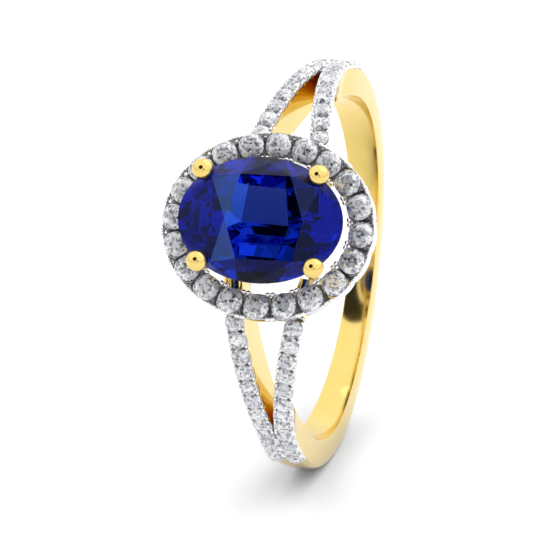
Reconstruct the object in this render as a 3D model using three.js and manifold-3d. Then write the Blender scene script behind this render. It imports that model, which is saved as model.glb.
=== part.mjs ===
// Engagement ring with split shoulders, an oval halo and a claw-set oval sapphire.
// The ring's own frame has X along the finger, Z out through the sapphire and Y round the band.
// The finished group is turned about X so that the ring stands on its band with the head
// facing -Y and tipped HEAD_LIFT above the horizontal.
import * as THREE from 'three';
import Module from 'manifold-3d';

const wasm = await Module();
wasm.setup();

// ---- driving dimensions, millimetres and degrees ----
const HEAD_LIFT = 31;
const BORE_R = 8.46;
const BAND_R = 9.95;
const SHOULDER_R = 10.66;
const BAND_HALF_SIDE = 0.9;
const BAND_HALF_BACK = 0.68;
const EDGE_BREAK = 0.07;

const ARM_HALF = 0.455;
const ARM_LEAN = 0.4;
const ARM_START = 12.6;
const ARM_SEAT = 22.2;
const SPLIT_AT = 66;
const SPLIT_SPREAD = 1.93;
const SPLIT_POWER = 1.37;
const ARM_MEET_X = 0.445;
const PLATE_FROM = 22.6;
const PLATE_TO = 84;
const LOWER_TO = 81.2;
const PLATE_T = 0.38;
const FIT = 0.01;

const SMALL_R = 0.455;
const SMALL_ALONG = 0.51;
const SMALL_PITCH = 0.93;
const LOWER_PITCH = 0.885;
const SEAT_HALF = 0.405;
const SMALL_FIRST = 25.4;
const SMALL_COUNT = 12;

const HEAD_X = -0.2;
const HALO_A = 4.53;
const HALO_B = 3.86;
const HALO_HALF = 0.62;
const HALO_BOTTOM = 9.88;
const HALO_TOP = 10.68;
const HALO_STONES = 20;
const HALO_STONE_R = 0.58;

const GEM_A = 3.97;
const GEM_B = 3.0;
const GEM_Z = 12.2;
const GEM_CROWN = 0.95;
const GEM_PAVILION = 2.45;
const GEM_GIRDLE = 0.12;
const GEM_TABLE = 0.56;

const CLAW_LONG = [2.95, 2.07];
const CLAW_SHORT = [2.62, 2.28];
const CLAW_BALL = 0.5;
const RAIL_A = 2.6;
const RAIL_B = 2.1;
const RAIL_Z = 9.0;
const RAIL_HALF = 0.22;
const LUG_X = 1.88;
const LUG_R = 0.2;

// ---- metals and stones ----
const material = (color, roughness, metalness) =>
  new THREE.MeshStandardMaterial({ color, roughness, metalness });
const YELLOW = material(0xf2c24e, 0.22, 1);
const WHITE = material(0xe3e4e6, 0.22, 1);
const DIAMOND = material(0xf2f4f7, 0.06, 0);
const SAPPHIRE = material(0x10248c, 0.05, 0);

const rad = THREE.MathUtils.degToRad;
const v2 = (x, y) => new THREE.Vector2(x, y);
const v3 = (x, y, z) => new THREE.Vector3(x, y, z);

// ---- mesh building ----
// Indexed geometry with its faces turned outwards.
function closedGeometry(points, tris) {
  let volume = 0;
  for (let i = 0; i < tris.length; i += 3) {
    const [a, b, c] = [points[tris[i]], points[tris[i + 1]], points[tris[i + 2]]];
    volume += a.dot(v3(0, 0, 0).crossVectors(b, c));
  }
  if (volume < 0) {
    for (let i = 0; i < tris.length; i += 3) {
      [tris[i + 1], tris[i + 2]] = [tris[i + 2], tris[i + 1]];
    }
  }
  const geometry = new THREE.BufferGeometry();
  geometry.setAttribute('position', new THREE.Float32BufferAttribute(points.flatMap((p) => p.toArray()), 3));
  geometry.setIndex(tris);
  return geometry;
}

// Surface through a run of flat outlines: outline(s) gives the 2-D loop at station s and
// place(s, p) puts one of its points in space. A run that is not a loop is capped at both ends.
function loft(stations, outline, place, loop) {
  const outlines = stations.map(outline);
  const n = outlines[0].length;
  const rows = stations.length;
  const points = [];
  stations.forEach((s, i) => outlines[i].forEach((p) => points.push(place(s, p))));
  const tris = [];
  const spans = loop ? rows : rows - 1;
  for (let i = 0; i < spans; i += 1) {
    for (let j = 0; j < n; j += 1) {
      const a = i * n + j;
      const b = i * n + ((j + 1) % n);
      const c = ((i + 1) % rows) * n + j;
      const d = ((i + 1) % rows) * n + ((j + 1) % n);
      tris.push(a, b, d, a, d, c);
    }
  }
  if (!loop) {
    for (const row of [0, rows - 1]) {
      const run = outlines[row];
      for (const [a, b, c] of THREE.ShapeUtils.triangulateShape(run.slice(), [])) {
        const same = THREE.ShapeUtils.area([run[a], run[b], run[c]]) * THREE.ShapeUtils.area(run) > 0;
        const face = [row * n + a, row * n + b, row * n + c];
        tris.push(...(same === (row > 0) ? face : face.reverse()));
      }
    }
  }
  return closedGeometry(points, tris);
}

const toSolid = (geometry) => new wasm.Manifold(new wasm.Mesh({
  numProp: 3,
  vertProperties: new Float32Array(geometry.getAttribute('position').array),
  triVerts: new Uint32Array(geometry.getIndex().array),
}));

function toGeometry(solid) {
  const mesh = solid.getMesh();
  const geometry = new THREE.BufferGeometry();
  geometry.setAttribute('position', new THREE.Float32BufferAttribute(mesh.vertProperties, 3));
  geometry.setIndex(Array.from(mesh.triVerts));
  return geometry;
}

const joined = (geometries) => geometries.map(toSolid).reduce((a, b) => a.add(b));

// ---- shapes shared by several pieces ----
// A point given by its place along the finger, its angle from the head and its radius.
const around = (x, degrees, r) => v3(x, r * Math.sin(rad(degrees)), r * Math.cos(rad(degrees)));

const ease = (t) => t * t * (3 - 2 * t);
const outerRadius = (degrees) => {
  const t = THREE.MathUtils.clamp((degrees - 24) / 58, 0, 1);
  return SHOULDER_R + (BAND_R - SHOULDER_R) * ease(t);
};
const armX = (degrees) =>
  ARM_MEET_X + SPLIT_SPREAD * Math.max(0, (SPLIT_AT - degrees) / SPLIT_AT) ** SPLIT_POWER;

const steps = (from, to, count) =>
  Array.from({ length: count + 1 }, (_, i) => from + ((to - from) * i) / count);

// Outward-stepping oval: t runs once round, off is the distance outside the oval.
function ovalPoint(a, b, t, off, z) {
  const n = v3(Math.cos(t) / a, Math.sin(t) / b, 0).normalize();
  return v3(a * Math.cos(t) + off * n.x, b * Math.sin(t) + off * n.y, z);
}

// Parameters that split an oval into equal lengths, the first on the X axis.
function evenOval(a, b, count) {
  const fine = 2880;
  const lengths = [0];
  for (let i = 1; i <= fine; i += 1) {
    const p = ovalPoint(a, b, ((i - 1) * 2 * Math.PI) / fine, 0, 0);
    const q = ovalPoint(a, b, (i * 2 * Math.PI) / fine, 0, 0);
    lengths.push(lengths[i - 1] + p.distanceTo(q));
  }
  return Array.from({ length: count }, (_, k) => {
    const want = (k / count) * lengths[fine];
    return (lengths.findIndex((s) => s >= want) * 2 * Math.PI) / fine;
  });
}

// Brilliant cut on an oval outline: table, stars, kites, upper halves, girdle, lower halves and
// mains. The girdle's middle is at z = 0 and segments is a multiple of sixteen.
function brilliant(a, b, { table, crown, pavilion, girdle, segments }) {
  const points = [];
  const tris = [];
  const point = (r, turn, z) => {
    const t = turn * 2 * Math.PI;
    points.push(v3(a * r * Math.cos(t), b * r * Math.sin(t), z));
    return points.length - 1;
  };
  const half = girdle / 2;
  const cosStep = Math.cos(Math.PI / 8);
  const starR = (1 + table * cosStep) / 2;
  const starZ = half + (crown * (1 - starR * cosStep)) / (1 - table);
  const lowR = 0.24;
  const lowZ = -half - pavilion * (1 - lowR * cosStep);
  const eighths = [...Array(8).keys()];
  const tableRing = eighths.map((k) => point(table, k / 8, half + crown));
  const starRing = eighths.map((k) => point(starR, (k + 0.5) / 8, starZ));
  const lowRing = eighths.map((k) => point(lowR, (k + 0.5) / 8, lowZ));
  const upper = Array.from({ length: segments }, (_, i) => point(1, i / segments, half));
  const lower = Array.from({ length: segments }, (_, i) => point(1, i / segments, -half));
  const culet = point(0, 0, -half - pavilion);
  const per = segments / 8;
  for (let k = 1; k < 7; k += 1) tris.push(tableRing[0], tableRing[k], tableRing[k + 1]);
  for (const k of eighths) {
    const next = (k + 1) % 8;
    const last = (k + 7) % 8;
    tris.push(tableRing[k], starRing[k], tableRing[next]);
    tris.push(tableRing[k], starRing[last], upper[k * per]);
    tris.push(tableRing[k], upper[k * per], starRing[k]);
    tris.push(culet, lower[k * per], lowRing[last]);
    tris.push(culet, lowRing[k], lower[k * per]);
    for (let i = k * per; i < (k + 1) * per; i += 1) {
      const j = (i + 1) % segments;
      tris.push(starRing[k], upper[i], upper[j]);
      tris.push(lowRing[k], lower[j], lower[i]);
      tris.push(upper[i], lower[i], lower[j], upper[i], lower[j], upper[j]);
    }
  }
  return closedGeometry(points, tris);
}

// Small eight-sided stone for the shoulders. It is a little longer along X, the way the row
// runs, so that it meets its neighbours flat to flat.
function smallStone() {
  const rings = [[0.55, 0.13], [1, 0.03], [1, 0], [0.03, -0.32]];
  const outline = () => Array.from({ length: 8 }, (_, k) => {
    const t = ((k + 0.5) * Math.PI) / 4;
    return v2(Math.cos(t), Math.sin(t));
  });
  const place = ([r, z], p) => v3(SMALL_ALONG * r * p.x, SMALL_R * r * p.y, z);
  return loft(rings, outline, place, false);
}

// ---- band: the lower plate stops a little sooner than the upper one ----
const armStations = [ARM_START, 18, ARM_SEAT, PLATE_FROM, ...steps(26, 88, 21)];
const bandStations = [PLATE_TO + FIT / 5, ...steps(90, 270, 44), 360 - LOWER_TO - FIT / 5];

// Each arm's outer wall leans in towards the bore; the lean dies away before the arms reach the band.
function armGeometry(side, upper) {
  const outline = (degrees) => {
    const under = (HALO_BOTTOM - FIT) / Math.cos(rad(degrees));
    const top = degrees < PLATE_FROM ? under : outerRadius(degrees) - PLATE_T - FIT;
    const h = ARM_HALF;
    const low = h - ARM_LEAN * ease(THREE.MathUtils.clamp((LOWER_TO - degrees) / 24, 0, 1));
    return [
      v2(-h, BORE_R + EDGE_BREAK), v2(-h + EDGE_BREAK, BORE_R), v2(low - EDGE_BREAK, BORE_R),
      v2(low, BORE_R + EDGE_BREAK), v2(h, top), v2(-h, top),
    ];
  };
  const place = (degrees, p) => around(side * (armX(degrees) + p.x), upper * degrees, p.y);
  return loft(armStations, outline, place, false);
}

function bandGeometry() {
  const outline = (degrees) => {
    const away = Math.min(Math.abs(180 - degrees) / 90, 1);
    const w = BAND_HALF_BACK + (BAND_HALF_SIDE - BAND_HALF_BACK) * ease(away);
    const crownSide = [[1, 0.46], [0.97, 0.3], [0.86, 0.15], [0.62, 0.05], [0.3, 0.01]];
    const right = crownSide.map(([x, drop]) => v2(w * x, BAND_R - drop));
    const left = [...right].reverse().map((p) => v2(-p.x, p.y));
    return [
      v2(-w, BORE_R + EDGE_BREAK), v2(-w + EDGE_BREAK, BORE_R), v2(w - EDGE_BREAK, BORE_R),
      v2(w, BORE_R + EDGE_BREAK), ...right, ...left,
    ];
  };
  return loft(bandStations, outline, (degrees, p) => around(p.x, degrees, p.y), false);
}

// ---- white-metal strips on the shoulders, each with a V-groove for its stones ----
function stripGeometry(side, upper) {
  const stations = [PLATE_FROM + FIT, ...steps(26, upper > 0 ? PLATE_TO : LOWER_TO, 20)];
  const outline = (degrees) => {
    const top = outerRadius(degrees);
    const right = [v2(ARM_HALF, top - PLATE_T), v2(ARM_HALF, top - 0.04), v2(ARM_HALF - 0.04, top),
      v2(SEAT_HALF, top), v2(0.06, top - 0.3)];
    return [...right, ...[...right].reverse().map((p) => v2(-p.x, p.y))];
  };
  const place = (degrees, p) => around(side * armX(degrees) + p.x, upper * degrees, p.y);
  return loft(stations, outline, place, false);
}

function stoneRow(side, upper) {
  const seat = (degrees) => around(side * armX(degrees), upper * degrees, outerRadius(degrees) + 0.02);
  const pitch = upper > 0 ? SMALL_PITCH : LOWER_PITCH;
  const stones = [];
  let degrees = SMALL_FIRST;
  for (let k = 0; k < SMALL_COUNT; k += 1) {
    const at = seat(degrees);
    const tangent = seat(degrees + 0.5).sub(seat(degrees - 0.5)).normalize();
    const radial = around(0, upper * degrees, 1);
    const out = radial.sub(tangent.clone().multiplyScalar(radial.dot(tangent))).normalize();
    const frame = new THREE.Matrix4().makeBasis(tangent, out.clone().cross(tangent), out);
    stones.push(smallStone().applyMatrix4(frame.setPosition(at)));
    let next = degrees;
    while (seat(next).distanceTo(at) < pitch) next += 0.002;
    degrees = next;
  }
  return joined(stones);
}

// ---- halo ----
function haloPlateGeometry() {
  const right = [v2(HALO_HALF, HALO_BOTTOM), v2(HALO_HALF, HALO_TOP - 0.05),
    v2(HALO_HALF - 0.04, HALO_TOP), v2(0.55, HALO_TOP), v2(0.05, HALO_TOP - 0.52)];
  const outline = () => [...right, ...[...right].reverse().map((p) => v2(-p.x, p.y))];
  const place = (t, p) => ovalPoint(HALO_A, HALO_B, t, p.x, p.y);
  return loft(steps(0, 2 * Math.PI, 60).slice(0, 60), outline, place, true);
}

// ---- under-gallery: a low rail tied to the ends of the four arms by short lugs ----
const railOutline = (grow) => () => Array.from({ length: 8 }, (_, k) => {
  const t = ((k + 0.5) * Math.PI) / 4;
  return v2((RAIL_HALF + 0.02 + grow) * Math.cos(t), (RAIL_HALF + 0.02 + grow) * Math.sin(t));
});
const railGeometry = (grow) => loft(steps(0, 2 * Math.PI, 32).slice(0, 32), railOutline(grow),
  (t, p) => ovalPoint(RAIL_A, RAIL_B, t, p.x, RAIL_Z + p.y), true);

// Round lug from the rail's middle line to the end face of one arm.
function lugGeometry(side, upper) {
  const x = side * LUG_X - HEAD_X;
  const onRail = RAIL_B * Math.sqrt(1 - (x / RAIL_A) ** 2);
  const slope = Math.tan(rad(ARM_START));
  const outline = () => Array.from({ length: 8 }, (_, k) => {
    const t = (k * Math.PI) / 4;
    return v2(LUG_R * Math.cos(t), LUG_R * Math.sin(t));
  });
  const place = (k, p) => {
    const z = RAIL_Z + p.y;
    const y = onRail + (slope * z - FIT - onRail) * k;
    return v3(x + p.x, upper * y, z);
  };
  return loft([0, 1], outline, place, false);
}

const galleryGeometry = () => joined([railGeometry(0), ...[1, -1].flatMap((upper) =>
  [-1, 1].map((side) => lugGeometry(side, upper)))]);

// Level-cut column that follows path(z); its foot and head are flat.
const column = (levels, path, radius, sides) => loft(levels,
  (z) => Array.from({ length: sides }, (_, k) => {
    const t = (k * 2 * Math.PI) / sides;
    return v2(radius(z) * Math.cos(t), radius(z) * Math.sin(t));
  }),
  (z, p) => path(z).add(v3(p.x, p.y, 0)), false);

// ---- sapphire and its claws ----
const gemCut = { table: GEM_TABLE, crown: GEM_CROWN, pavilion: GEM_PAVILION, girdle: GEM_GIRDLE, segments: 32 };
const gemGeometry = (grow) => brilliant(GEM_A + grow, GEM_B + grow, gemCut).translate(0, 0, GEM_Z);

// The claws are set a few degrees round from the stone's own axes, so opposite ones match.
function clawSolid(sideX, sideY) {
  const [topX, topY] = sideX * sideY < 0 ? CLAW_LONG : CLAW_SHORT;
  const foot = ovalPoint(RAIL_A, RAIL_B, Math.atan2(1, 1), 0, 0);
  const from = RAIL_Z + RAIL_HALF + 0.01;
  const ballZ = GEM_Z + 0.42;
  const path = (z) => {
    const k = THREE.MathUtils.clamp((z - from) / (ballZ - from), 0, 1) ** 0.9;
    return v3(foot.x + (topX - foot.x) * k, foot.y + (topY - foot.y) * k, z);
  };
  const stem = column(steps(from, ballZ, 5), path, (z) => 0.31 + 0.11 * ((z - from) / (ballZ - from)), 10);
  const ball = loft(steps(-78, 78, 7), (lat) => Array.from({ length: 12 }, (_, k) => {
    const t = (k * Math.PI) / 6;
    const r = CLAW_BALL * Math.cos(rad(lat));
    return v2(r * Math.cos(t), r * Math.sin(t));
  }), (lat, p) => v3(p.x + topX, p.y + topY, ballZ + CLAW_BALL * 0.9 * Math.sin(rad(lat))), false);
  const claw = joined([stem, ball]).subtract(toSolid(gemGeometry(FIT * 2)));
  return toGeometry(claw).scale(sideX, sideY, 1);
}

// ---- assembly ----
const ring = new THREE.Group();
ring.name = 'engagement_ring';
const tilted = new THREE.Group();
tilted.name = 'ring';
tilted.rotation.x = rad(90 - HEAD_LIFT);
ring.add(tilted);

function group(name, x = 0) {
  const g = new THREE.Group();
  g.name = name;
  g.position.x = x;
  tilted.add(g);
  return g;
}

function add(parent, name, geometry, mat) {
  let volume = 0;
  const p = geometry.getAttribute('position');
  const at = (i) => v3(p.getX(i), p.getY(i), p.getZ(i));
  const index = geometry.getIndex().array;
  for (let i = 0; i < index.length; i += 3) {
    volume += at(index[i]).dot(at(index[i + 1]).cross(at(index[i + 2])));
  }
  if (volume < 0) {
    for (let i = 0; i < index.length; i += 3) {
      [index[i + 1], index[i + 2]] = [index[i + 2], index[i + 1]];
    }
  }
  const flat = geometry.toNonIndexed();
  flat.computeVertexNormals();
  const mesh = new THREE.Mesh(flat, mat);
  mesh.name = name;
  parent.add(mesh);
  return mesh;
}

const sides = [['left', -1], ['right', 1]];
const heights = [['upper', 1], ['lower', -1]];

const metalwork = group('metalwork');
const arms = heights.flatMap(([, up]) => sides.map(([, side]) => armGeometry(side, up)));
const railRoom = toSolid(railGeometry(FIT).translate(HEAD_X, 0, 0));
const shank = joined([...arms, bandGeometry()]).subtract(railRoom);
add(metalwork, 'shank', toGeometry(shank), YELLOW);

const pave = group('pave');
for (const [height, up] of heights) {
  const strips = sides.map(([, side]) => stripGeometry(side, up));
  add(pave, `pave_plate_${height}`, toGeometry(joined(strips)), WHITE);
  for (const [name, side] of sides) {
    add(pave, `diamonds_${height}_${name}`, toGeometry(stoneRow(side, up)), DIAMOND);
  }
}

const halo = group('halo', HEAD_X);
add(halo, 'halo_plate', haloPlateGeometry(), WHITE);
evenOval(HALO_A, HALO_B, HALO_STONES).forEach((t, k) => {
  const cut = { table: 0.56, crown: 0.19, pavilion: 0.49, girdle: 0.04, segments: 16 };
  const stone = brilliant(HALO_STONE_R, HALO_STONE_R, cut);
  stone.rotateZ(t).translate(...ovalPoint(HALO_A, HALO_B, t, 0, HALO_TOP + 0.05).toArray());
  add(halo, `halo_diamond_${String(k + 1).padStart(2, '0')}`, stone, DIAMOND);
});

const centre = group('centre', HEAD_X);
add(centre, 'gallery', toGeometry(galleryGeometry()), YELLOW);
add(centre, 'sapphire', gemGeometry(0), SAPPHIRE);
for (const [height, up] of heights) {
  for (const [name, side] of sides) {
    add(centre, `claw_${height}_${name}`, clawSolid(side, up), YELLOW);
  }
}

export default ring;
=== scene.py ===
# %% [markdown]
# An engagement ring: an oval blue sapphire in four yellow-gold claws, an oval halo of round
# diamonds in white metal, and a yellow-gold shank whose shoulders split in two and carry rows
# of small diamonds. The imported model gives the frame: every piece below is made in metres in
# that frame, and replaces or dresses one of its nodes.

# %% Load the frame
import bisect, bpy, bmesh, math
from mathutils import Matrix, Vector


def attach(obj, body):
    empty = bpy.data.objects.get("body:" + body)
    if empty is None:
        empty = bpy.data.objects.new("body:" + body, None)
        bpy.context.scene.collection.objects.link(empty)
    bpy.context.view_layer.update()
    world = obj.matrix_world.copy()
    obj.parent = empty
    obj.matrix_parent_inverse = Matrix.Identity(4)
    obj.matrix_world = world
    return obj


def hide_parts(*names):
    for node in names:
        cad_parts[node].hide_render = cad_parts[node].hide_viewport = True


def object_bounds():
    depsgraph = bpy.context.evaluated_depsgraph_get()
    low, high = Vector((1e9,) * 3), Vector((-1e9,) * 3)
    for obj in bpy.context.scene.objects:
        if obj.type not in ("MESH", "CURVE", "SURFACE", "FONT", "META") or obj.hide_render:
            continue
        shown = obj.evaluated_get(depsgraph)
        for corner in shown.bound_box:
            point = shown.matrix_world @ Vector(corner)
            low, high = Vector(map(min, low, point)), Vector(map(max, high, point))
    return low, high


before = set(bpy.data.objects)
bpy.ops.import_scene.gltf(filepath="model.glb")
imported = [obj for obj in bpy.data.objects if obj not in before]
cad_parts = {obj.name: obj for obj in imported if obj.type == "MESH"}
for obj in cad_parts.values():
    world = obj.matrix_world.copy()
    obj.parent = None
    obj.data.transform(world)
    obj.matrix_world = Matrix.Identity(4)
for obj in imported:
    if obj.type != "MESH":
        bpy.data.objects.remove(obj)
cad_low, cad_high = [list(map(float, corner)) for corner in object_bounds()]
print("frame nodes", len(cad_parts), "box", cad_low, cad_high)

# %% [markdown]
# The ring has its own directions: X along the finger, Z out through the sapphire and Y round
# the band. It stands tipped back, so every point is worked out in millimetres in the ring's own
# directions and then turned about X and scaled to metres in one place.

# %% Ring directions and dimensions
MM = 0.001
HEAD_LIFT = 31.0
TURN = Matrix.Rotation(math.radians(90 - HEAD_LIFT), 3, "X")
BORE_R = 8.46
BAND_R = 9.95
SHOULDER_R = 10.66
BAND_HALF_SIDE = 0.9
BAND_HALF_BACK = 0.68
ARM_HALF = 0.455
ARM_LEAN = 0.4
ARM_START = 12.6
ARM_SEAT = 22.2
SPLIT_AT = 66.0
SPLIT_SPREAD = 1.93
SPLIT_POWER = 1.37
ARM_MEET_X = 0.445
PLATE_FROM = 22.6
PLATE_TO = 84.0
PLATE_T = 0.38
SMALL_FIRST = 25.4
SMALL_PITCH = 0.93
LOWER_PITCH = 0.885
LOWER_TO = 81.2
SMALL_COUNT = 12
HEAD_X = -0.2
HALO_A = 4.53
HALO_B = 3.86
HALO_HALF = 0.62
HALO_BOTTOM = 9.88
HALO_TOP = 10.68
HALO_STONES = 20
GEM_A = 3.97
GEM_B = 3.0
GEM_Z = 12.2


def place(p):
    """A point in the ring's own millimetres as a point of the frame in metres."""
    return TURN @ Vector(p) * MM


def around(x, degrees, r):
    """x along the finger, degrees round from the head, r from the finger's axis."""
    return Vector((x, r * math.sin(math.radians(degrees)), r * math.cos(math.radians(degrees))))


def ease(t):
    return t * t * (3 - 2 * t)


def outer_radius(degrees):
    return SHOULDER_R + (BAND_R - SHOULDER_R) * ease(min(max((degrees - 24) / 58, 0), 1))


def arm_x(degrees):
    open_by = max(0.0, (SPLIT_AT - degrees) / SPLIT_AT)
    return ARM_MEET_X + SPLIT_SPREAD * open_by ** SPLIT_POWER


def oval_point(a, b, t, off=0.0, z=0.0):
    """A point on one of the head's ovals; the whole head sits a hair to the left."""
    n = Vector((math.cos(t) / a, math.sin(t) / b, 0)).normalized()
    return Vector((HEAD_X + a * math.cos(t) + off * n.x, b * math.sin(t) + off * n.y, z))


def steps(low, high, count):
    return [low + (high - low) * i / count for i in range(count + 1)]


print("head direction", tuple(round(v, 3) for v in TURN @ Vector((0, 0, 1))))

# %% [markdown]
# The camera looks slightly down on the ring from the front and a little to its right, from far
# enough away that there is almost no perspective, as a long close-up lens gives.

# %% Camera
camera = bpy.data.objects.new("camera", bpy.data.cameras.new("camera"))
bpy.context.scene.collection.objects.link(camera)
camera.location = (0.0593029, -0.2246826, 0.0919876)
looking = Vector((-0.24485, 0.89593, -0.3706))
camera.rotation_euler = looking.to_track_quat("-Z", "Y").to_euler()
camera.data.lens = 328.23
camera.data.sensor_width = 36
camera.data.clip_start = 0.01
camera.data.clip_end = 20
bpy.context.scene.camera = camera
print("camera looks", tuple(round(v, 3) for v in looking))

# %% [markdown]
# Jewellery is lit inside a white tent, because polished metal and cut stones show nothing but
# what surrounds them. The world is that tent: nearly white all round, a little darker low down,
# with one dark round opening where the lens looks in, and a round black flag hung where the
# sapphire's table would otherwise mirror the tent and veil its blue. One large soft light
# behind adds the brightest patches, and a white floor carries the shadow.

# %% The white tent
world = bpy.data.worlds.new("tent")
bpy.context.scene.world = world
world.use_nodes = True
tent = world.node_tree
tent.nodes.clear()
tent_out = tent.nodes.new("ShaderNodeOutputWorld")
tent_light = tent.nodes.new("ShaderNodeBackground")
direction = tent.nodes.new("ShaderNodeTexCoord")
to_lens = tent.nodes.new("ShaderNodeVectorMath")
to_lens.operation = "DOT_PRODUCT"
to_lens.inputs[1].default_value = (-looking).normalized()
to_flag = tent.nodes.new("ShaderNodeVectorMath")
to_flag.operation = "DOT_PRODUCT"
to_flag.inputs[1].default_value = (-0.245, -0.748, 0.617)
nearer = tent.nodes.new("ShaderNodeMath")
nearer.operation = "MAXIMUM"
flag_reach = tent.nodes.new("ShaderNodeMath")
flag_reach.operation = "ADD"
flag_reach.inputs[1].default_value = 0.045
opening = tent.nodes.new("ShaderNodeValToRGB")
opening.color_ramp.elements[0].position = 0.990
opening.color_ramp.elements[0].color = (1, 1, 1, 1)
opening.color_ramp.elements[1].position = 0.995
opening.color_ramp.elements[1].color = (0.02, 0.02, 0.022, 1)
height = tent.nodes.new("ShaderNodeSeparateXYZ")
wall = tent.nodes.new("ShaderNodeValToRGB")
wall.color_ramp.elements[0].position = 0.45
wall.color_ramp.elements[0].color = (0.66, 0.66, 0.67, 1)
wall.color_ramp.elements[1].position = 0.74
wall.color_ramp.elements[1].color = (1.0, 1.0, 1.0, 1)
lift = tent.nodes.new("ShaderNodeMapRange")
lift.inputs["From Min"].default_value = -1
lift.inputs["From Max"].default_value = 1
both = tent.nodes.new("ShaderNodeMix")
both.data_type = "RGBA"
both.blend_type = "MULTIPLY"
both.inputs["Factor"].default_value = 1
tent.links.new(direction.outputs["Generated"], to_lens.inputs[0])
tent.links.new(direction.outputs["Generated"], to_flag.inputs[0])
tent.links.new(to_flag.outputs["Value"], flag_reach.inputs[0])
tent.links.new(to_lens.outputs["Value"], nearer.inputs[0])
tent.links.new(flag_reach.outputs[0], nearer.inputs[1])
tent.links.new(nearer.outputs[0], opening.inputs["Fac"])
tent.links.new(direction.outputs["Generated"], height.inputs[0])
tent.links.new(height.outputs["Z"], lift.inputs["Value"])
tent.links.new(lift.outputs["Result"], wall.inputs["Fac"])
tent.links.new(wall.outputs["Color"], both.inputs["A"])
tent.links.new(opening.outputs["Color"], both.inputs["B"])
tent.links.new(both.outputs["Result"], tent_light.inputs["Color"])
tent.links.new(tent_light.outputs[0], tent_out.inputs[0])
tent_light.inputs["Strength"].default_value = 1.35


def softbox(name, at, size, watts):
    """A square area light at a point, facing the ring."""
    lamp = bpy.data.lights.new(name, "AREA")
    lamp.shape = "SQUARE"
    lamp.size = size
    lamp.energy = watts
    obj = bpy.data.objects.new(name, lamp)
    bpy.context.scene.collection.objects.link(obj)
    obj.location = at
    obj.rotation_euler = (-Vector(at)).to_track_quat("-Z", "Y").to_euler()
    return obj


softbox("light_back_right", (0.20, 0.20, 0.42), 0.50, 0.42)

# %% [markdown]
# The floor is white paper just under the ring. The picture's colours are shown plainly, with no
# film curve, and light is followed through many bounces so that it can get in and out of stones.

# %% Floor and colour handling
floor_mesh = bpy.data.meshes.new("floor")
floor_z = cad_low[2] - 0.00002
floor_mesh.from_pydata(
    [(-3, -3, floor_z), (3, -3, floor_z), (3, 3, floor_z), (-3, 3, floor_z)], [], [(0, 1, 2, 3)]
)
floor = bpy.data.objects.new("floor", floor_mesh)
bpy.context.scene.collection.objects.link(floor)
paper = bpy.data.materials.new("white_paper")
paper.use_nodes = True
paper_surface = paper.node_tree.nodes["Principled BSDF"]
paper_surface.inputs["Base Color"].default_value = (0.97, 0.97, 0.97, 1)
paper_surface.inputs["Roughness"].default_value = 0.8
floor_mesh.materials.append(paper)
bpy.context.scene.view_settings.view_transform = "Standard"
bpy.context.scene.view_settings.look = "None"
cycles = bpy.context.scene.cycles
cycles.max_bounces = 24
cycles.transmission_bounces = 20
cycles.glossy_bounces = 12
cycles.caustics_refractive = False
cycles.caustics_reflective = False
print("floor at", round(floor_z, 5))

# %% [markdown]
# Each finish is a node material. Polished gold is a metal whose roughness wanders a little and
# whose surface carries hair-fine polishing lines. The two golds differ only in tone and polish.

# %% Metal finishes
def metal(name, tone_a, tone_b, rough_low, rough_high, line_depth):
    """A polished metal between two tones, with fine lines from the polishing wheel."""
    mat = bpy.data.materials.new(name)
    mat.use_nodes = True
    nt = mat.node_tree
    surface = nt.nodes["Principled BSDF"]
    surface.inputs["Metallic"].default_value = 1.0
    where = nt.nodes.new("ShaderNodeTexCoord")
    cloud = nt.nodes.new("ShaderNodeTexNoise")
    cloud.inputs["Scale"].default_value = 700
    cloud.inputs["Detail"].default_value = 4
    tone = nt.nodes.new("ShaderNodeValToRGB")
    tone.color_ramp.elements[0].color = (*tone_a, 1)
    tone.color_ramp.elements[1].color = (*tone_b, 1)
    tone.color_ramp.elements[0].position = 0.35
    tone.color_ramp.elements[1].position = 0.65
    rough = nt.nodes.new("ShaderNodeMapRange")
    rough.inputs["From Min"].default_value = 0.3
    rough.inputs["From Max"].default_value = 0.7
    rough.inputs["To Min"].default_value = rough_low
    rough.inputs["To Max"].default_value = rough_high
    stretch = nt.nodes.new("ShaderNodeMapping")
    stretch.inputs["Scale"].default_value = (6000, 900, 900)
    lines = nt.nodes.new("ShaderNodeTexNoise")
    lines.inputs["Scale"].default_value = 1
    lines.inputs["Detail"].default_value = 3
    bump = nt.nodes.new("ShaderNodeBump")
    bump.inputs["Strength"].default_value = line_depth
    bump.inputs["Distance"].default_value = 0.00001
    nt.links.new(where.outputs["Object"], cloud.inputs["Vector"])
    nt.links.new(cloud.outputs["Fac"], tone.inputs["Fac"])
    nt.links.new(tone.outputs["Color"], surface.inputs["Base Color"])
    nt.links.new(cloud.outputs["Fac"], rough.inputs["Value"])
    nt.links.new(rough.outputs["Result"], surface.inputs["Roughness"])
    nt.links.new(where.outputs["Object"], stretch.inputs["Vector"])
    nt.links.new(stretch.outputs["Vector"], lines.inputs["Vector"])
    nt.links.new(lines.outputs["Fac"], bump.inputs["Height"])
    nt.links.new(bump.outputs["Normal"], surface.inputs["Normal"])
    return mat


yellow_gold = metal("polished_yellow_gold", (0.76, 0.565, 0.17), (0.80, 0.60, 0.205), 0.07, 0.14, 0.12)
white_gold = metal("polished_white_gold", (0.76, 0.76, 0.77), (0.82, 0.82, 0.83), 0.10, 0.20, 0.15)
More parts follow.
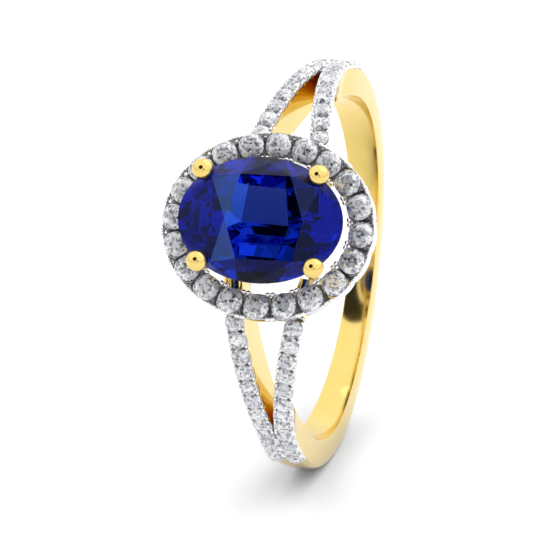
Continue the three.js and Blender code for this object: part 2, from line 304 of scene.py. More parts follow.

# %% [markdown]
# A cut stone looks like a mosaic, because each facet throws back a different part of the room.
# Bending light alone does not give that look here, so the finish is part painted light. Each
# stone bends light by its real refractive index, but the small ones are only a quarter clear:
# the rest is a bright surface with painted reflections, a grey per facet and a fine pattern of
# painted glints, turned round by a number of each stone's own so that no two are alike. The
# sapphire swallows light along its way, and every facet of it has its own painted light or shade
# over its blue and a clearness of its own as well.

# %% Stone finishes
def stone(name, tone_a, tone_b, index, scale, clear=1.0, shine=1.0):
    """A cut stone: its refractive index, how clear it is and how strongly its faces mirror."""
    mat = bpy.data.materials.new(name)
    mat.use_nodes = True
    nt = mat.node_tree
    surface = nt.nodes["Principled BSDF"]
    surface.inputs["Transmission Weight"].default_value = clear
    surface.inputs["Roughness"].default_value = 0.0
    surface.inputs["IOR"].default_value = index
    surface.inputs["Specular Tint"].default_value = (shine, shine, shine, 1)
    where = nt.nodes.new("ShaderNodeTexCoord")
    zones = nt.nodes.new("ShaderNodeTexNoise")
    zones.inputs["Scale"].default_value = scale
    tone = nt.nodes.new("ShaderNodeValToRGB")
    tone.color_ramp.elements[0].color = (*tone_a, 1)
    tone.color_ramp.elements[1].color = (*tone_b, 1)
    # Each facet's colour from the mesh; in these stones it carries painted reflections, light and
    # shade.
    facet = nt.nodes.new("ShaderNodeAttribute")
    facet.attribute_name = "facet_colour_and_painted_light"
    tone_times_painted_light = nt.nodes.new("ShaderNodeMix")
    tone_times_painted_light.data_type = "RGBA"
    tone_times_painted_light.blend_type = "MULTIPLY"
    tone_times_painted_light.inputs["Factor"].default_value = 1
    nt.links.new(where.outputs["Object"], zones.inputs["Vector"])
    nt.links.new(zones.outputs["Fac"], tone.inputs["Fac"])
    nt.links.new(tone.outputs["Color"], tone_times_painted_light.inputs["A"])
    nt.links.new(facet.outputs["Color"], tone_times_painted_light.inputs["B"])
    nt.links.new(tone_times_painted_light.outputs["Result"], surface.inputs["Base Color"])
    return mat


def painted_reflection_mosaic(mat):
    """Paints reflections: turns each facet's number round by the stone's own number into four distinct
    grey tones and multiplies in painted glints.
    """
    nt = mat.node_tree
    facet = next(n for n in nt.nodes if n.type == "ATTRIBUTE")
    tone_times_painted_light = next(n for n in nt.nodes if n.type == "MIX")
    own = nt.nodes.new("ShaderNodeAttribute")
    own.attribute_name = "own"
    turned = nt.nodes.new("ShaderNodeMath")
    turned.operation = "MULTIPLY_ADD"
    turned.inputs[1].default_value = 3.7
    round_again = nt.nodes.new("ShaderNodeMath")
    round_again.operation = "FRACT"
    tones = nt.nodes.new("ShaderNodeValToRGB")
    tones.color_ramp.interpolation = "CONSTANT"
    tones.color_ramp.elements[0].color = (0.64, 0.65, 0.68, 1)
    tones.color_ramp.elements[1].position = 0.14
    tones.color_ramp.elements[1].color = (0.8, 0.81, 0.84, 1)
    for position, grey in ((0.34, 0.95), (0.56, 1.0)):
        more = tones.color_ramp.elements.new(position)
        more.color = (grey, grey, grey, 1)
    # Painted glints: a fine pattern of white spots and dark specks over the stone.
    glints = nt.nodes.new("ShaderNodeTexVoronoi")
    glints.distance = "MANHATTAN"
    glints.inputs["Scale"].default_value = 9000
    sparkle = nt.nodes.new("ShaderNodeValToRGB")
    sparkle.color_ramp.interpolation = "CONSTANT"
    sparkle.color_ramp.elements[0].color = (0.10, 0.10, 0.12, 1)
    sparkle.color_ramp.elements[1].position = 0.21
    sparkle.color_ramp.elements[1].color = (0.36, 0.37, 0.40, 1)
    soft = sparkle.color_ramp.elements.new(0.36)
    soft.color = (0.68, 0.69, 0.73, 1)
    white = sparkle.color_ramp.elements.new(0.52)
    white.color = (1, 1, 1, 1)
    where = next(n for n in nt.nodes if n.type == "TEX_COORD")
    broken = nt.nodes.new("ShaderNodeMix")
    broken.data_type = "RGBA"
    broken.blend_type = "MULTIPLY"
    broken.inputs["Factor"].default_value = 1
    nt.links.new(where.outputs["Object"], glints.inputs["Vector"])
    nt.links.new(glints.outputs["Color"], sparkle.inputs["Fac"])
    nt.links.new(tones.outputs["Color"], broken.inputs["A"])
    nt.links.new(sparkle.outputs["Color"], broken.inputs["B"])
    nt.links.new(own.outputs["Fac"], turned.inputs[0])
    nt.links.new(facet.outputs["Fac"], turned.inputs[2])
    nt.links.new(turned.outputs[0], round_again.inputs[0])
    nt.links.new(round_again.outputs[0], tones.inputs["Fac"])
    nt.links.new(broken.outputs["Result"], tone_times_painted_light.inputs["B"])


# The diamond is only a quarter clear; the rest is a bright surface carrying painted reflections and
# glints.
diamond = stone("cut_diamond", (0.97, 0.98, 1.0), (1.0, 1.0, 1.0), 2.42, 400, clear=0.24)
painted_reflection_mosaic(diamond)
sapphire_blue = stone("sapphire_blue", (0.80, 0.88, 1.0), (0.95, 0.98, 1.0), 1.77, 250, shine=0.1)
blue_nodes = sapphire_blue.node_tree
# Facets that are less clear show their painted light or shade as a surface colour.
blue_nodes.links.new(
    next(n for n in blue_nodes.nodes if n.type == "ATTRIBUTE").outputs["Alpha"],
    blue_nodes.nodes["Principled BSDF"].inputs["Transmission Weight"],
)
depth = blue_nodes.nodes.new("ShaderNodeVolumeAbsorption")
depth.inputs["Color"].default_value = (0.02, 0.30, 0.84, 1)
depth.inputs["Density"].default_value = 430
blue_nodes.links.new(depth.outputs[0], blue_nodes.nodes["Material Output"].inputs["Volume"])

# %% [markdown]
# Four small helpers do most of the making: one turns a working mesh into a finished piece, one
# lofts a surface through flat outlines, one adds or cuts solids, and one hands a piece over.

# %% Mesh helpers
def new_object(name, bm, mat, smooth_angle=None):
    """A finished mesh object at the origin with outward faces."""
    bmesh.ops.recalc_face_normals(bm, faces=bm.faces)
    if bm.calc_volume(signed=True) < 0:
        bmesh.ops.reverse_faces(bm, faces=bm.faces)
    mesh = bpy.data.meshes.new(name)
    bm.to_mesh(mesh)
    bm.free()
    if smooth_angle is not None:
        mesh.polygons.foreach_set("use_smooth", [True] * len(mesh.polygons))
        mesh.set_sharp_from_angle(angle=math.radians(smooth_angle))
    if mat:
        mesh.materials.append(mat)
    obj = bpy.data.objects.new(name, mesh)
    bpy.context.scene.collection.objects.link(obj)
    return obj


def add_loft(bm, stations, outline, put, loop=False):
    """Adds the surface through flat outlines: outline(s) is a loop of pairs, put(s, pair) a point."""
    rows = [[bm.verts.new(place(put(s, p))) for p in outline(s)] for s in stations]
    n = len(rows[0])
    for i in range(len(rows) if loop else len(rows) - 1):
        a, b = rows[i], rows[(i + 1) % len(rows)]
        for j in range(n):
            bm.faces.new((a[j], a[(j + 1) % n], b[(j + 1) % n], b[j]))
    if not loop:
        bm.faces.new(list(reversed(rows[0])))
        bm.faces.new(rows[-1])


def circle(radius, sides):
    return [(radius * math.cos(2 * math.pi * k / sides), radius * math.sin(2 * math.pi * k / sides))
            for k in range(sides)]


def combined(name, objects, operation, mat, smooth_angle):
    """The union of several solids, or the first with the others cut away, as one new mesh."""
    first, rest = objects[0], objects[1:]
    for k, other in enumerate(rest):
        step = first.modifiers.new(f"step_{k}", "BOOLEAN")
        step.operation = operation
        step.solver = "EXACT"
        step.object = other
    done = bpy.data.meshes.new_from_object(first.evaluated_get(bpy.context.evaluated_depsgraph_get()))
    for obj in objects:
        bpy.data.objects.remove(obj)
    done.materials.clear()
    bm = bmesh.new()
    bm.from_mesh(done)
    bmesh.ops.remove_doubles(bm, verts=bm.verts, dist=1e-8)
    bpy.data.meshes.remove(done)
    return new_object(name, bm, mat, smooth_angle)


def finish(obj, slot, *nodes):
    """Hands a piece to the frame: what it rides on and the nodes it stands for; slot, its finish, is
    not used.
    """
    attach(obj, "root")
    if nodes:
        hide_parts(*nodes)
    print(obj.name, "faces", len(obj.data.polygons))


# %% [markdown]
# The shank is cast in one piece: a D-shaped band round the back, split into two arms at each
# shoulder. Each part is a loft along the ring's circle with rounded edges, and the five lofts
# are united, which gives the clean fork where the arms part.

# %% Shank
EDGE = 0.07
LIP_DROP = 0.17


def rounded(corners, radius, sides=3):
    """A loop of pairs with each corner cut by a small arc."""
    loop = []
    for i, corner in enumerate(corners):
        c = Vector(corner)
        a = (Vector(corners[i - 1]) - c).normalized()
        b = (Vector(corners[(i + 1) % len(corners)]) - c).normalized()
        for k in range(sides + 1):
            t = k / sides
            loop.append(tuple(c + a * radius * (1 - t) ** 2 + b * radius * t ** 2))
    return loop


def arm_outline(degrees):
    """Cross-section of an arm, its outer wall on the plus side and leaning in at the bore."""
    under = (HALO_BOTTOM - 0.01) / math.cos(math.radians(degrees))
    h = ARM_HALF - 0.001
    low = h - ARM_LEAN * ease(min(max((LOWER_TO - degrees) / 24, 0), 1))
    if degrees < PLATE_FROM - 0.1:
        inner = rounded([(-h, BORE_R), (low, BORE_R), (h, under), (-h, under)], EDGE)[:8]
        return inner + [(h, under - 0.3), (0.3, under - 0.08), (0.12, under), (-0.12, under),
                        (-0.3, under - 0.08), (-h, under - 0.3)]
    top = outer_radius(degrees) - PLATE_T - 0.01
    lip, bed = top + PLATE_T - LIP_DROP, h - 0.12
    inner = rounded([(-h, BORE_R), (low, BORE_R), (h, lip), (-h, lip)], EDGE)[:8]
    return inner + [(h, lip), (bed, lip), (bed, top), (-bed, top), (-bed, lip), (-h, lip)]


def band_outline(degrees):
    away = min(abs(180 - degrees) / 90, 1)
    w = BAND_HALF_BACK + (BAND_HALF_SIDE - BAND_HALF_BACK) * ease(away)
    crown = [(1, 0.40), (0.985, 0.30), (0.95, 0.21), (0.88, 0.13), (0.76, 0.075), (0.6, 0.035),
             (0.4, 0.012), (0.2, 0.003), (0, 0)]
    right = [(w * x, BAND_R - drop) for x, drop in crown]
    left = [(-x, y) for x, y in reversed(right[:-1])]
    inner = rounded([(-w, BORE_R), (w, BORE_R), (w, BAND_R - 0.45), (-w, BAND_R - 0.45)], EDGE)[:8]
    return inner + right + left


shank_parts = []
for up in (1, -1):
    for side in (-1, 1):
        bm = bmesh.new()
        stations = steps(ARM_START, ARM_SEAT, 6) + [PLATE_FROM] + steps(24, 88, 48)
        add_loft(bm, stations, arm_outline,
                 lambda d, p, side=side, up=up: around(side * (arm_x(d) + p[0]), up * d, p[1]))
        shank_parts.append(new_object("arm", bm, None))
bm = bmesh.new()
add_loft(bm, [PLATE_TO + 0.02] + steps(85.5, 274.5, 126) + [276.5, 360 - LOWER_TO - 0.02], band_outline,
         lambda d, p: around(p[0], d, p[1]))
shank_parts.insert(0, new_object("band", bm, None))
shank = combined("shank_gold", shank_parts, "UNION", yellow_gold, 32)
finish(shank, "yellow_gold", "shank")

# %% [markdown]
# Small stones in a row are held in a strip of white metal. The strip is cut back between the
# stones, so its edges are scalloped, and under each stone there is a cone-shaped seat. Both
# come from one rule: for every spot on the strip, how far it is from the nearest stone's middle
# along the row and across it.

# %% Strips with scalloped edges and seats
def cell_steps(pitch, parts=7):
    """Offsets from a stone's middle to the gap on its far side, closest together near the gap."""
    return [pitch / 2 * math.sin(math.pi / 2 * k / parts) for k in range(-parts, parts + 1)]


def strip_outline(off, pitch, wide, narrow, seat_r, seat_depth, top, foot, groove, across=8):
    """Cross-section of the strip at an offset along the row from the nearest stone's middle.

    The foot is the strip's lower part, as pairs going round its underside from left to right."""
    share = min(1.0, abs(off) / (pitch / 2))
    w = narrow + (wide - narrow) * math.sqrt(1 - share * share)
    notch = groove * max(0.0, (share - 0.87) / 0.13)
    low = foot[-1][1]
    loop = foot + [(w, low), (w, top - 0.05 - notch)]
    for k in range(-across, across + 1):
        u = -w * 0.96 * k / across
        d = math.hypot(off, u)
        loop.append((u, top - notch - max(0.0, min(seat_depth - notch, (seat_r - d) * 0.95))))
    return loop + [(-w, top - 0.05 - notch), (-w, low)]


def arm_line(degrees):
    return around(arm_x(degrees), degrees, outer_radius(degrees) + 0.02)


def row_angles(pitch):
    """Angles of the stones' middles, one pitch apart along the arm."""
    angles = [SMALL_FIRST]
    while len(angles) < SMALL_COUNT:
        at, d = arm_line(angles[-1]), angles[-1]
        while (arm_line(d) - at).length < pitch:
            d += 0.002
        angles.append(d)
    return angles


# upper (1) and lower (-1) rows: the stones' pitch, their angles and where the strip stops
ROWS = {1: (SMALL_PITCH, row_angles(SMALL_PITCH), PLATE_TO),
        -1: (LOWER_PITCH, row_angles(LOWER_PITCH), LOWER_TO)}
print("upper row ends at", round(ROWS[1][1][-1], 2), "lower row at", round(ROWS[-1][1][-1], 2))


def row_stations(up):
    """(angle, offset from the nearest stone) all along a row, with plain ends."""
    pitch, row, end = ROWS[up]
    out = [(PLATE_FROM + 0.05, pitch / 2)]
    for middle in row:
        per_degree = (arm_line(middle + 0.5) - arm_line(middle - 0.5)).length
        out += [(middle + off / per_degree, off) for off in cell_steps(pitch * 0.998)]
    return out + [(end, pitch / 2)]


STRIP_HALF = 0.505
STRIP_NARROW = 0.42
STRIP_FOOT = [(-0.33, 0.01 - LIP_DROP), (-0.33, -PLATE_T), (0.33, -PLATE_T), (0.33, 0.01 - LIP_DROP)]
for name, up in (("upper", 1), ("lower", -1)):
    strips = []
    for side in (-1, 1):
        bm = bmesh.new()
        add_loft(
            bm, row_stations(up),
            lambda s: strip_outline(s[1], ROWS[up][0], STRIP_HALF, STRIP_NARROW, 0.42, 0.355, 0.0,
                                    STRIP_FOOT, 0.3),
            lambda s, p: around(side * arm_x(s[0]) + p[0], up * s[0], outer_radius(s[0]) + p[1]))
        strips.append(new_object("strip", bm, None))
    plate = combined(f"shoulder_plate_{name}", strips, "UNION", white_gold, 40)
    finish(plate, "white_gold", f"pave_plate_{name}")

# %% [markdown]
# The halo is the same kind of strip bent round an oval, so its stones are first spaced by
# length along the oval, not by angle, which would crowd them at the ends.

# %% Halo plate
OVAL_STEPS = 4000
GUIDE_POINTS = 400


def lengths_round_halo():
    """How long the halo's middle line is up to each of many even steps of its parameter."""
    lengths = [0.0]
    for i in range(OVAL_STEPS):
        p = oval_point(HALO_A, HALO_B, 2 * math.pi * i / OVAL_STEPS)
        q = oval_point(HALO_A, HALO_B, 2 * math.pi * (i + 1) / OVAL_STEPS)
        lengths.append(lengths[-1] + (q - p).length)
    return lengths


HALO_LENGTHS = lengths_round_halo()
HALO_PITCH = HALO_LENGTHS[-1] / HALO_STONES


def even_oval(count, start):
    """Parameters that cut the halo's middle line into equal lengths."""
    out = []
    for k in range(count):
        want = (k / count + start) % 1 * HALO_LENGTHS[-1]
        i = min(bisect.bisect_right(HALO_LENGTHS, want), OVAL_STEPS) - 1
        part = (want - HALO_LENGTHS[i]) / (HALO_LENGTHS[i + 1] - HALO_LENGTHS[i])
        out.append(2 * math.pi * (i + part) / OVAL_STEPS)
    return out


HALO_NARROW = 0.5
HALO_FOOT = [(-0.44, HALO_BOTTOM + 0.12), (-0.44, HALO_BOTTOM),
             (0.44, HALO_BOTTOM), (0.44, HALO_BOTTOM + 0.12)]
per_cell = cell_steps(HALO_PITCH, 9)[:-1]
halo_stations = []
for t in even_oval(HALO_STONES, 0.0):
    rate = (oval_point(HALO_A, HALO_B, t + 0.01) - oval_point(HALO_A, HALO_B, t - 0.01)).length / 0.02
    halo_stations += [(t + off / rate, off) for off in per_cell]
bm = bmesh.new()
add_loft(
    bm, halo_stations,
    lambda s: strip_outline(s[1], HALO_PITCH, HALO_HALF, HALO_NARROW, 0.6, 0.54, HALO_TOP, HALO_FOOT,
                            0.42, 10),
    lambda s, p: oval_point(HALO_A, HALO_B, s[0], p[0], p[1]), loop=True)
finish(new_object("halo_plate_scalloped", bm, white_gold, 40), "white_gold", "halo_plate")
print("halo pitch", round(HALO_PITCH, 3), "mm")

# %% [markdown]
# Every small stone is a brilliant: a flat table, a ring of star and kite facets to the girdle,
# and a cone of long facets below it that throws the light back. The facets are left flat and
# sharp, because it is their flatness that makes a stone flash. One small diamond is cut here
# and Geometry Nodes repeats it along each row.

# %% Brilliant cut
def add_brilliant(bm, table, crown, pavilion, girdle, segments):
    """Adds a round brilliant of radius one; table is a share of it, the rest are heights."""
    def ring(count, r, turn, h):
        turns = [2 * math.pi * (k + turn) / count for k in range(count)]
        return [bm.verts.new((r * math.cos(t), r * math.sin(t), h)) for t in turns]

    half = girdle / 2
    cos_step = math.cos(math.pi / 8)
    star_r = (1 + table * cos_step) / 2
    star_h = half + crown * (1 - star_r * cos_step) / (1 - table)
    low_r = 0.24
    low_h = -half - pavilion * (1 - low_r * cos_step)
    table_ring = ring(8, table, 0, half + crown)
    star_ring = ring(8, star_r, 0.5, star_h)
    low_ring = ring(8, low_r, 0.5, low_h)
    upper = ring(segments, 1, 0, half)
    lower = ring(segments, 1, 0, -half)
    culet = bm.verts.new((0, 0, -half - pavilion))
    per = segments // 8
    bm.faces.new(table_ring)
    for k in range(8):
        nxt, last = (k + 1) % 8, (k + 7) % 8
        bm.faces.new((table_ring[k], star_ring[k], table_ring[nxt]))
        bm.faces.new((table_ring[k], star_ring[last], upper[k * per], star_ring[k]))
        bm.faces.new((culet, low_ring[k], lower[k * per], low_ring[last]))
        for i in range(k * per, (k + 1) * per):
            j = (i + 1) % segments
            bm.faces.new((star_ring[k], upper[i], upper[j]))
            bm.faces.new((low_ring[k], lower[j], lower[i]))
            bm.faces.new((upper[i], lower[i], lower[j], upper[j]))


bm = bmesh.new()
add_brilliant(bm, table=0.56, crown=0.32, pavilion=0.86, girdle=0.06, segments=16)
bm.faces.ensure_lookup_table()
# Each facet gets a number that picks its painted reflection, from dark grey to white.
facet_colour_and_painted_light = bm.faces.layers.float.new("facet_colour_and_painted_light")
for number, facet in enumerate(bm.faces):
    facet[facet_colour_and_painted_light] = (number * 0.618) % 1
unit_stone = new_object("unit_stone", bm, diamond)
unit_stone.hide_render = True

# %% [markdown]
# One small tree sets out every row. It takes a line whose points know which way is outward,
# spaces points evenly along it, stands one copy of a shape on each and can push the copies
# across or along the row. Stones and grains of metal both come from it.

# %% Geometry Nodes: repeat a shape along a line
def line_tree():
    """Repeats an object along a line whose points carry their outward direction."""
    tree = bpy.data.node_groups.new("repeat_along_line", "GeometryNodeTree")
    face = tree.interface
    face.new_socket("Line", in_out="INPUT", socket_type="NodeSocketGeometry")
    face.new_socket("Shape", in_out="INPUT", socket_type="NodeSocketObject")
    face.new_socket("Count", in_out="INPUT", socket_type="NodeSocketInt")
    face.new_socket("Size", in_out="INPUT", socket_type="NodeSocketFloat")
    face.new_socket("Across", in_out="INPUT", socket_type="NodeSocketFloat")
    face.new_socket("Along", in_out="INPUT", socket_type="NodeSocketFloat")
    face.new_socket("Seed", in_out="INPUT", socket_type="NodeSocketInt")
    face.new_socket("Finish", in_out="INPUT", socket_type="NodeSocketMaterial")
    face.new_socket("Row", in_out="OUTPUT", socket_type="NodeSocketGeometry")
    node = tree.nodes.new
    link = tree.links.new
    given = node("NodeGroupInput")
    result = node("NodeGroupOutput")
    curve = node("GeometryNodeMeshToCurve")
    spread = node("GeometryNodeResampleCurve")
    tangent = node("GeometryNodeInputTangent")
    outward = node("GeometryNodeInputNamedAttribute")
    outward.data_type = "FLOAT_VECTOR"
    outward.inputs["Name"].default_value = "outward"
    axes = node("FunctionNodeAxesToRotation")
    axes.primary_axis = "Z"
    axes.secondary_axis = "X"
    sideways = node("ShaderNodeVectorMath")
    sideways.operation = "CROSS_PRODUCT"
    step_side = node("ShaderNodeVectorMath")
    step_side.operation = "SCALE"
    step_line = node("ShaderNodeVectorMath")
    step_line.operation = "SCALE"
    both_steps = node("ShaderNodeVectorMath")
    shape = node("GeometryNodeObjectInfo")
    copies = node("GeometryNodeInstanceOnPoints")
    chance = node("FunctionNodeRandomValue")
    chance.data_type = "FLOAT"
    keep = node("GeometryNodeStoreNamedAttribute")
    keep.data_type = "FLOAT"
    keep.domain = "INSTANCE"
    keep.inputs["Name"].default_value = "own"
    real = node("GeometryNodeRealizeInstances")
    dress = node("GeometryNodeSetMaterial")
    link(given.outputs["Line"], curve.inputs[0])
    link(curve.outputs[0], spread.inputs["Curve"])
    link(given.outputs["Count"], spread.inputs["Count"])
    link(outward.outputs["Attribute"], sideways.inputs[0])
    link(tangent.outputs[0], sideways.inputs[1])
    link(sideways.outputs[0], step_side.inputs[0])
    link(given.outputs["Across"], step_side.inputs["Scale"])
    link(tangent.outputs[0], step_line.inputs[0])
    link(given.outputs["Along"], step_line.inputs["Scale"])
    link(step_side.outputs[0], both_steps.inputs[0])
    link(step_line.outputs[0], both_steps.inputs[1])
    link(outward.outputs["Attribute"], axes.inputs["Primary Axis"])
    link(tangent.outputs[0], axes.inputs["Secondary Axis"])
    link(given.outputs["Shape"], shape.inputs["Object"])
    link(shape.outputs["Geometry"], copies.inputs["Instance"])
    link(axes.outputs[0], copies.inputs["Rotation"])
    link(given.outputs["Size"], copies.inputs["Scale"])
    move = node("GeometryNodeTranslateInstances")
    move.inputs["Local Space"].default_value = False
    capture = node("GeometryNodeCaptureAttribute")
    capture.capture_items.new("VECTOR", "step")
    link(both_steps.outputs[0], capture.inputs[1])
    link(spread.outputs[0], capture.inputs[0])
    link(capture.outputs[0], copies.inputs["Points"])
    link(copies.outputs[0], move.inputs["Instances"])
    link(capture.outputs[1], move.inputs["Translation"])
    link(given.outputs["Seed"], chance.inputs["Seed"])
    link(move.outputs[0], keep.inputs["Geometry"])
    link(chance.outputs[1], keep.inputs["Value"])
    link(keep.outputs[0], real.inputs[0])
    link(real.outputs[0], dress.inputs["Geometry"])
    link(given.outputs["Finish"], dress.inputs["Material"])
    link(dress.outputs[0], result.inputs[0])
    return tree


LINE_TREE = line_tree()


def guide(name, points, outwards, closed):
    """A bare line of edges whose points carry their outward direction."""
    mesh = bpy.data.meshes.new(name)
    edges = [(i, i + 1) for i in range(len(points) - 1)]
    if closed:
        edges.append((len(points) - 1, 0))
    mesh.from_pydata([place(p) for p in points], edges, [])
    data = mesh.attributes.new("outward", "FLOAT_VECTOR", "POINT")
    data.data.foreach_set("vector", [c for o in outwards for c in (TURN @ o)])
    obj = bpy.data.objects.new(name, mesh)
    bpy.context.scene.collection.objects.link(obj)
    return obj


def repeated(line, shape, count, size, finish_mat, across=0.0, along=0.0, seed=1):
    """Runs the tree once and returns its mesh; the line is left as it was."""
    mod = line.modifiers.new("repeat", "NODES")
    mod.node_group = LINE_TREE
    values = {"Shape": shape, "Count": count, "Size": size * MM, "Across": across * MM,
              "Along": along * MM, "Seed": seed, "Finish": finish_mat}
    for item in LINE_TREE.interface.items_tree:
        if item.in_out == "INPUT" and item.name in values:
            mod[item.identifier] = values[item.name]
    mesh = bpy.data.meshes.new_from_object(line.evaluated_get(bpy.context.evaluated_depsgraph_get()))
    line.modifiers.remove(mod)
    return mesh


def piece_from(name, meshes, smooth_angle=None):
    """Joins plain meshes into one object."""
    bm = bmesh.new()
    for mesh in meshes:
        bm.from_mesh(mesh)
    out = bpy.data.meshes.new(name)
    bm.to_mesh(out)
    bm.free()
    out.materials.append(meshes[0].materials[0])
    for mesh in meshes:
        bpy.data.meshes.remove(mesh)
    if smooth_angle is not None:
        out.polygons.foreach_set("use_smooth", [True] * len(out.polygons))
        out.set_sharp_from_angle(angle=math.radians(smooth_angle))
    obj = bpy.data.objects.new(name, out)
    bpy.context.scene.collection.objects.link(obj)
    return obj


# %% [markdown]
# Twelve stones run down each arm, the first of them half under the halo, and twenty go round
# the halo with one on each end of its long axis. Each row is one piece.

# %% Rows of diamonds
SMALL_STONE_R = 0.445
HALO_STONE_R = 0.615


def arm_guide(name, side, up, angles, lift):
    """A guide along the middle of one arm, a little above its surface."""
    points = [around(side * arm_x(d), up * d, outer_radius(d) + lift) for d in angles]
    outs = [around(0, up * d, 1) for d in angles]
    return guide(name, points, outs, False)


def fine(angles, between=8):
    """The same run of angles with even steps put in between."""
    out = []
    for a, b in zip(angles, angles[1:]):
        out += [a + (b - a) * k / between for k in range(between)]
    return out + [angles[-1]]


for upper_lower, up in (("upper", 1), ("lower", -1)):
    for side_name, side in (("left", -1), ("right", 1)):
        line = arm_guide("line", side, up, fine(ROWS[up][1]), 0.03)
        mesh = repeated(line, unit_stone, SMALL_COUNT, SMALL_STONE_R, diamond, seed=3 + up + side)
        bpy.data.objects.remove(line)
        finish(piece_from(f"shoulder_stones_{upper_lower}_{side_name}", [mesh]), "diamond",
               f"diamonds_{upper_lower}_{side_name}")


def halo_guide(start, lift):
    """A closed guide round the halo's middle line, a little above its top."""
    points = [oval_point(HALO_A, HALO_B, t, 0, HALO_TOP + lift) for t in even_oval(GUIDE_POINTS, start)]
    return guide("line", points, [Vector((0, 0, 1))] * GUIDE_POINTS, True)


halo_line = halo_guide(0.0, 0.05)
mesh = repeated(halo_line, unit_stone, HALO_STONES, HALO_STONE_R, diamond, seed=11)
bpy.data.objects.remove(halo_line)
finish(piece_from("halo_stones", [mesh]), "diamond",
       *[f"halo_diamond_{k:02d}" for k in range(1, HALO_STONES + 1)])

# %% [markdown]
# Between neighbouring stones the setter raises small grains of metal and presses them over the
# stones' edges. On the halo each grain is a short claw split in two. They are all the same
# little domed pin, repeated at every gap on both sides of the row.

# %% Beads and split claws
BEAD_R = 0.092
BEAD_ACROSS = 0.39
SPLIT_R = 0.115
SPLIT_IN = -0.58
SPLIT_OUT = 0.60
PAIR_HALF = 0.12
bm = bmesh.new()
profile = [(0.92, -2.2), (1.0, -0.4), (0.97, 0.1), (0.8, 0.55), (0.45, 0.85)]
rings = [[bm.verts.new((1.25 * r * x, r * y, h)) for x, y in circle(1, 8)] for r, h in profile]
for low, high in zip(rings, rings[1:]):
    for j in range(8):
        bm.faces.new((low[j], low[(j + 1) % 8], high[(j + 1) % 8], high[j]))
bm.faces.new(list(reversed(rings[0])))
tip = bm.verts.new((0, 0, 1.0))
for j in range(8):
    bm.faces.new((rings[-1][j], rings[-1][(j + 1) % 8], tip))
pin = new_object("pin", bm, white_gold, 60)
pin.hide_render = True

for upper_lower, up in (("upper", 1), ("lower", -1)):
    meshes = []
    gaps = [(a + b) / 2 for a, b in zip(ROWS[up][1], ROWS[up][1][1:])]
    for side in (-1, 1):
        line = arm_guide("line", side, up, fine(gaps), 0.03)
        for across in (-BEAD_ACROSS, BEAD_ACROSS):
            for along in (-PAIR_HALF, PAIR_HALF):
                meshes.append(repeated(line, pin, len(gaps), BEAD_R, white_gold, across, along))
        bpy.data.objects.remove(line)
    finish(piece_from(f"shoulder_beads_{upper_lower}", meshes, 60), "white_gold")

gap_line = halo_guide(0.5 / HALO_STONES, 0.04)
meshes = [repeated(gap_line, pin, HALO_STONES, SPLIT_R, white_gold, across, along)
          for across in (SPLIT_IN, SPLIT_OUT) for along in (-PAIR_HALF, PAIR_HALF)]
bpy.data.objects.remove(gap_line)
finish(piece_from("halo_split_claws", meshes, 60), "white_gold")

# %% [markdown]
# The sapphire is not a plain brilliant: it has an uneven six-sided table, long star facets that
# run almost to the girdle and big kites left and right. Its back is hidden by the setting, and
# is given the steps and the keel that are usual on an oval. All its corners lie on a bulging
# shape, so the tightest skin round them is the stone; the skin's flat parts are its facets.
# Each facet takes a listed colour: the stone's blue with painted light or shade on it, dark ink
# blue painted shade in the kites, bright royal blue painted highlights, grey painted glints.

# %% Sapphire
TABLE_CORNERS = [(2.25, 0), (1.4, 2.05), (-1.0, 1.95), (-1.5, -0.2), (-0.7, -2.05), (2.0, -1.95)]
STAR_TIPS = [(2.75, 1.6, 0.47), (0.1, 2.65, 0.42), (-2.5, 1.8, 0.51),
             (-2.0, -2.3, 0.51), (0.5, -2.8, 0.31), (2.9, -1.75, 0.54)]
TABLE_H = 0.92
GIRDLE_HALF = 0.06
GIRDLE_CORNERS = 64
BACK_TIERS = ((0.86, -0.72, 12), (0.60, -1.55, 8))
KEEL_HALF = 1.15
KEEL_DEPTH = 2.5


def gem_corners(grow=0.0):
    """Every corner of the sapphire in ring millimetres; grow pushes them all outwards."""
    a, b = GEM_A + grow, GEM_B + grow
    corners = [(x, y, TABLE_H + grow) for x, y in TABLE_CORNERS]
    corners += [(x, y, h + grow) for x, y, h in STAR_TIPS]
    for k in range(GIRDLE_CORNERS):
        t = 2 * math.pi * k / GIRDLE_CORNERS
        corners += [(a * math.cos(t), b * math.sin(t), h) for h in (GIRDLE_HALF, -GIRDLE_HALF)]
    for r, h, sides in BACK_TIERS:
        for k in range(sides):
            t = 2 * math.pi * (k + 0.5) / sides
            corners.append((a * r * math.cos(t), b * r * math.sin(t), h - grow))
    corners += [(x, 0, -KEEL_DEPTH - grow) for x in (-KEEL_HALF, KEEL_HALF)]
    return [Vector((HEAD_X + x, y, GEM_Z + z)) for x, y, z in corners]


def gem_colour_and_painted_light(x, y, h):
    """A facet's colour, its blue with painted light or shade, and last how clear it is, from where its
    middle lies.
    """
    turn = math.degrees(math.atan2(abs(y), abs(x)))
    r = math.hypot(x, y)
    if h > 0.85:
        return (0.42, 0.58, 0.92, 1)
    if h > 0.07 and turn < 32:
        return (0.006, 0.022, 0.18, 0.85) if x < 0 else (0.02, 0.14, 1.0, 0.98)
    if h > 0.07 and r < 0.72 and turn < 60:
        return (0.042, 0.095, 0.29, 0.45) if x < 0 else (0.02, 0.05, 0.26, 0.78)
    if h > 0.07:
        return (0.008, 0.05, 0.38, 0.93) if turn < 75 else (0.004, 0.018, 0.09, 0.94)
    if h < -2.1:
        return (0.035, 0.16, 0.62, 1)
    if abs(x) < 0.28:
        return (0.004, 0.006, 0.05, 1)
    return (0.02, 0.07, 0.45, 1) if x < 0 else (0.14, 0.34, 1.0, 1)


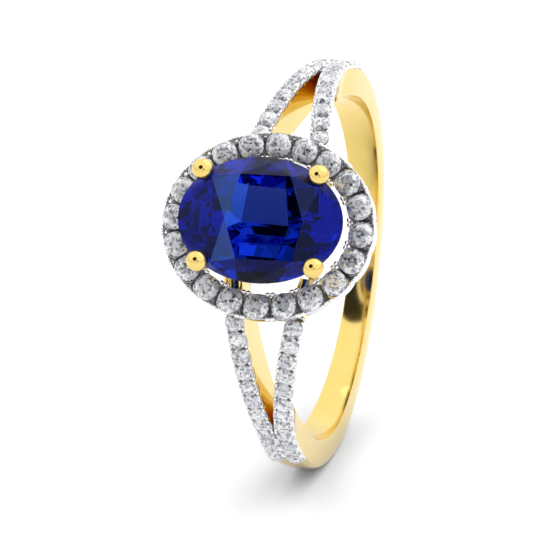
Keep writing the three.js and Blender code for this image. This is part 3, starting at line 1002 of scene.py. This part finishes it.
def gem_solid(name, mat, grow=0.0):
    """The skin round the sapphire's corners, with its nearly level faces joined into facets."""
    bm = bmesh.new()
    for corner in gem_corners(grow):
        bm.verts.new(place(corner))
    bmesh.ops.convex_hull(bm, input=bm.verts)
    bmesh.ops.dissolve_limit(bm, angle_limit=math.radians(0.6), verts=bm.verts, edges=bm.edges)
    # Each facet's colour is the sapphire's blue with painted light or shade on it.
    facet_colour_and_painted_light = bm.faces.layers.float_color.new("facet_colour_and_painted_light")
    back = TURN.inverted()
    for facet in bm.faces:
        at = back @ facet.calc_center_median() / MM - Vector((HEAD_X, 0, GEM_Z))
        facet[facet_colour_and_painted_light] = gem_colour_and_painted_light(at.x / GEM_A, at.y / GEM_B, at.z)
    return new_object(name, bm, mat)


gem = gem_solid("sapphire_cut", sapphire_blue)
finish(gem, "sapphire", "sapphire")

# %% [markdown]
# Each claw is one wire that rises from the low rail, leans out past the stone's edge and is
# melted to a ball over it. The ball is part of the same loft, and the stone is cut out of it.

# %% Claws
CLAW_LONG, CLAW_SHORT, CLAW_BALL = (2.95, 2.07), (2.62, 2.28), 0.5
RAIL_A, RAIL_B, RAIL_Z, RAIL_HALF = 2.6, 2.1, 9.0, 0.22
BALL_Z = GEM_Z + 0.52


def claw_radius(z):
    """The claw's radius at a height: a wire that thickens slightly and ends in a ball."""
    stem = 0.31 + 0.11 * (z - RAIL_Z) / (BALL_Z - RAIL_Z)
    rise = z - BALL_Z
    ball = math.sqrt(max(0.0, CLAW_BALL ** 2 - rise ** 2))
    if rise > 0:
        return ball
    return max(stem, ball)


def claw_loft(side, up):
    """One claw from the rail to its ball, before the stone is cut out of it."""
    foot = oval_point(RAIL_A, RAIL_B, math.atan2(up, side))
    lean_x, lean_y = CLAW_LONG if side * up < 0 else CLAW_SHORT
    tip = Vector((HEAD_X + side * lean_x, up * lean_y, 0))
    low = RAIL_Z + RAIL_HALF - 0.02

    def put(z, p):
        k = min(max((z - low) / (BALL_Z - low), 0), 1) ** 0.9
        squash = 0.88 if z > BALL_Z else 1
        return foot.lerp(tip, k) + Vector((p[0], p[1], BALL_Z + (z - BALL_Z) * squash))

    levels = steps(low, BALL_Z - 0.5, 10) + [BALL_Z + CLAW_BALL * math.sin(math.radians(a))
                                            for a in range(-78, 88, 6)]
    bm = bmesh.new()
    add_loft(bm, levels, lambda z: [(1.04 * x, y) for x, y in circle(claw_radius(z), 28)], put)
    return new_object("claw", bm, None)


for upper_lower, up in (("upper", 1), ("lower", -1)):
    for side_name, side in (("left", -1), ("right", 1)):
        claw = combined(f"claw_gold_{upper_lower}_{side_name}",
                        [claw_loft(side, up), gem_solid("cutter", None, 0.02)],
                        "DIFFERENCE", yellow_gold, 40)
        finish(claw, "yellow_gold", f"claw_{upper_lower}_{side_name}")

# %% [markdown]
# Under the stone a low oval rail ties the claws together, and four short round lugs tie the
# rail to the ends of the split arms. Rail and lugs are united so they read as one casting.

# %% Under-gallery
LUG_X, LUG_R = 1.88, 0.2
bm = bmesh.new()
add_loft(bm, steps(0, 2 * math.pi, 96)[:-1], lambda t: circle(RAIL_HALF + 0.01, 16),
         lambda t, p: oval_point(RAIL_A, RAIL_B, t, p[0], RAIL_Z + p[1]), loop=True)
gallery_parts = [new_object("rail", bm, None)]
for up in (1, -1):
    for side in (-1, 1):
        on_rail = RAIL_B * math.sqrt(1 - ((side * LUG_X - HEAD_X) / RAIL_A) ** 2)

        def lug_put(k, p, side=side, up=up, on_rail=on_rail):
            z = RAIL_Z + p[1]
            arm_end = math.tan(math.radians(ARM_START)) * z
            return Vector((side * LUG_X + p[0], up * (on_rail + (arm_end - on_rail) * k), z))

        bm = bmesh.new()
        add_loft(bm, steps(0, 1, 4), lambda k: circle(LUG_R, 16), lug_put)
        gallery_parts.append(new_object("lug", bm, None))
gallery = combined("gallery_gold", gallery_parts, "UNION", yellow_gold, 40)
finish(gallery, "yellow_gold", "gallery")

# %% [markdown]
# The templates that were only copied from are cleared away, and the imported model's box is printed.

# %% Clear the templates, note the imported model's box and finish
for template in (unit_stone, pin):
    bpy.data.objects.remove(template)
print("cad box", cad_low, cad_high)
